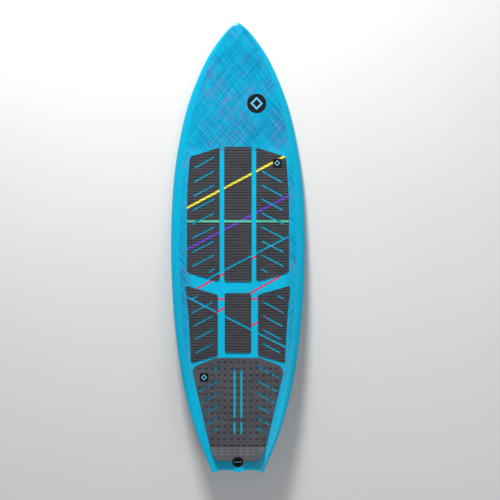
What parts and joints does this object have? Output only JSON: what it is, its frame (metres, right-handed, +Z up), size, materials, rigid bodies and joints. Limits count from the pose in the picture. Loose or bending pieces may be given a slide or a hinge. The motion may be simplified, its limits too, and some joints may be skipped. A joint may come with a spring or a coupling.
{
  "type": "wave board",
  "caption": "Strapless wave board for wind sports, with a foam core in a laminated skin, ribbed grip pads, a knobbed tail pad with a kick, a leash plug and fins in slide-in boxes.",
  "frame": {"origin": "centre of the outer box at floor level, with the board lying deck up on its two side fins and the nose end of its bottom", "axes": "+Y towards the nose, +X to the right side seen from above with the nose ahead, +Z up"},
  "size_m": [0.4815, 1.595, 0.2104],
  "materials": {
    "foam": "closed-cell white foam, matte",
    "wood": "pale plain-sawn strip",
    "laminate": "clear gloss over a woven cyan print",
    "grip_foam": "ribbed soft foam, dark grey",
    "tail_foam": "knobbed soft foam, mid grey",
    "yellow_foam": "ribbed soft foam, yellow",
    "green_foam": "ribbed soft foam, mint green",
    "purple_foam": "ribbed soft foam, purple",
    "badge_rubber": "satin moulded",
    "black_plastic": "moulded, satin",
    "steel": "stainless, satin",
    "fin_composite": "glass composite, satin black"
  },
  "bodies": {
    "root": {"bottom_skin": "laminate", "deck_skin": "laminate", "fin_box_centre": "black_plastic", "fin_box_left": "black_plastic", "fin_box_right": "black_plastic", "foam_core_left": "foam", "foam_core_right": "foam", "front_badge": "badge_rubber", "front_pad_centre_front": "grip_foam", "front_pad_centre_rear": "grip_foam", "front_pad_left_front": "grip_foam", "front_pad_left_rear": "grip_foam", "front_pad_right_front": "grip_foam", "front_pad_right_rear": "grip_foam", "green_stripe_centre": "green_foam", "green_stripe_left": "green_foam", "green_stripe_right": "green_foam", "leash_pin": "steel", "leash_plug": "black_plastic", "mid_pad_centre_front": "grip_foam", "mid_pad_centre_rear": "grip_foam", "mid_pad_left_front": "grip_foam", "mid_pad_left_rear": "grip_foam", "mid_pad_right_front": "grip_foam", "mid_pad_right_rear": "grip_foam", "nose_mark": "badge_rubber", "purple_stripe_centre": "purple_foam", "purple_stripe_left": "purple_foam", "purple_stripe_right": "purple_foam", "stringer": "wood", "tail_badge": "badge_rubber", "tail_kick": "tail_foam", "tail_pad": "tail_foam", "yellow_stripe_centre": "yellow_foam", "yellow_stripe_left": "yellow_foam", "yellow_stripe_right": "yellow_foam"},
    "fin_left": {"fin_left": "fin_composite"},
    "fin_screw_left_front": {"fin_screw_left_front": "steel"},
    "fin_screw_left_rear": {"fin_screw_left_rear": "steel"},
    "fin_centre": {"fin_centre": "fin_composite"},
    "fin_screw_centre_front": {"fin_screw_centre_front": "steel"},
    "fin_screw_centre_rear": {"fin_screw_centre_rear": "steel"},
    "fin_right": {"fin_right": "fin_composite"},
    "fin_screw_right_front": {"fin_screw_right_front": "steel"},
    "fin_screw_right_rear": {"fin_screw_right_rear": "steel"}
  },
  "joints": [
    {"name": "fin_left_slide", "type": "slide", "parent": "root", "child": "fin_left", "axis": [-0.1072, -0.182, -0.9775], "range_m": [0, 0.016]},
    {"name": "fin_screw_left_front_turn", "type": "hinge", "parent": "root", "child": "fin_screw_left_front", "pos_m": [-0.14341, -0.43007, 0.09839], "axis": [0.3227, -0.1914, -0.927], "continuous": true},
    {"name": "fin_screw_left_rear_turn", "type": "hinge", "parent": "root", "child": "fin_screw_left_rear", "pos_m": [-0.14619, -0.49287, 0.11039], "axis": [0.3227, -0.1914, -0.927], "continuous": true},
    {"name": "fin_centre_slide", "type": "slide", "parent": "root", "child": "fin_centre", "axis": [0, -0.2287, -0.9735], "range_m": [0, 0.016]},
    {"name": "fin_screw_centre_front_turn", "type": "hinge", "parent": "root", "child": "fin_screw_centre_front", "pos_m": [0.00522, -0.62086, 0.13882], "axis": [0.4226, -0.2073, -0.8823], "continuous": true},
    {"name": "fin_screw_centre_rear_turn", "type": "hinge", "parent": "root", "child": "fin_screw_centre_rear", "pos_m": [0.00522, -0.68316, 0.15346], "axis": [0.4226, -0.2073, -0.8823], "continuous": true},
    {"name": "fin_right_slide", "type": "slide", "parent": "root", "child": "fin_right", "axis": [0.1072, -0.182, -0.9775], "range_m": [0, 0.016]},
    {"name": "fin_screw_right_front_turn", "type": "hinge", "parent": "root", "child": "fin_screw_right_front", "pos_m": [0.15377, -0.42942, 0.09941], "axis": [0.5169, -0.1384, -0.8448], "continuous": true},
    {"name": "fin_screw_right_rear_turn", "type": "hinge", "parent": "root", "child": "fin_screw_right_rear", "pos_m": [0.15656, -0.49222, 0.1114], "axis": [0.5169, -0.1384, -0.8448], "continuous": true}
  ]
}
